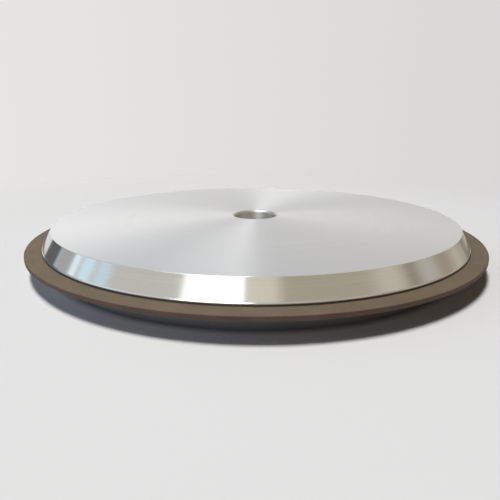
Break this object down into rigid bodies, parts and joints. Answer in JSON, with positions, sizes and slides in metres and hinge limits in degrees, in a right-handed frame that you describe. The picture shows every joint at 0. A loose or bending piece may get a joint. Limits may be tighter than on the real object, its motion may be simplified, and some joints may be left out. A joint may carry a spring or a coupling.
{
  "type": "diamond grinding wheel",
  "caption": "Flat diamond grinding wheel with a turned aluminium core, a thin resin-bonded abrasive rim at mid-height and a plain central bore.",
  "frame": {"origin": "centre of the bore at the lower clamping face, which is also the face that the wheel rests on", "axes": "+Z along the bore axis, up through the wheel; X and Y across the disc, which is the same all the way round"},
  "size_m": [0.2, 0.2, 0.0166],
  "materials": {
    "core_aluminium": "satin",
    "diamond_resin": "matte",
    "backing_resin": "matte",
    "bonding_resin": "satin"
  },
  "bodies": {
    "root": {"core_disc": "core_aluminium", "abrasive_rim": "diamond_resin", "rim_backing": "backing_resin", "bond_coat": "bonding_resin"}
  },
  "joints": []
}
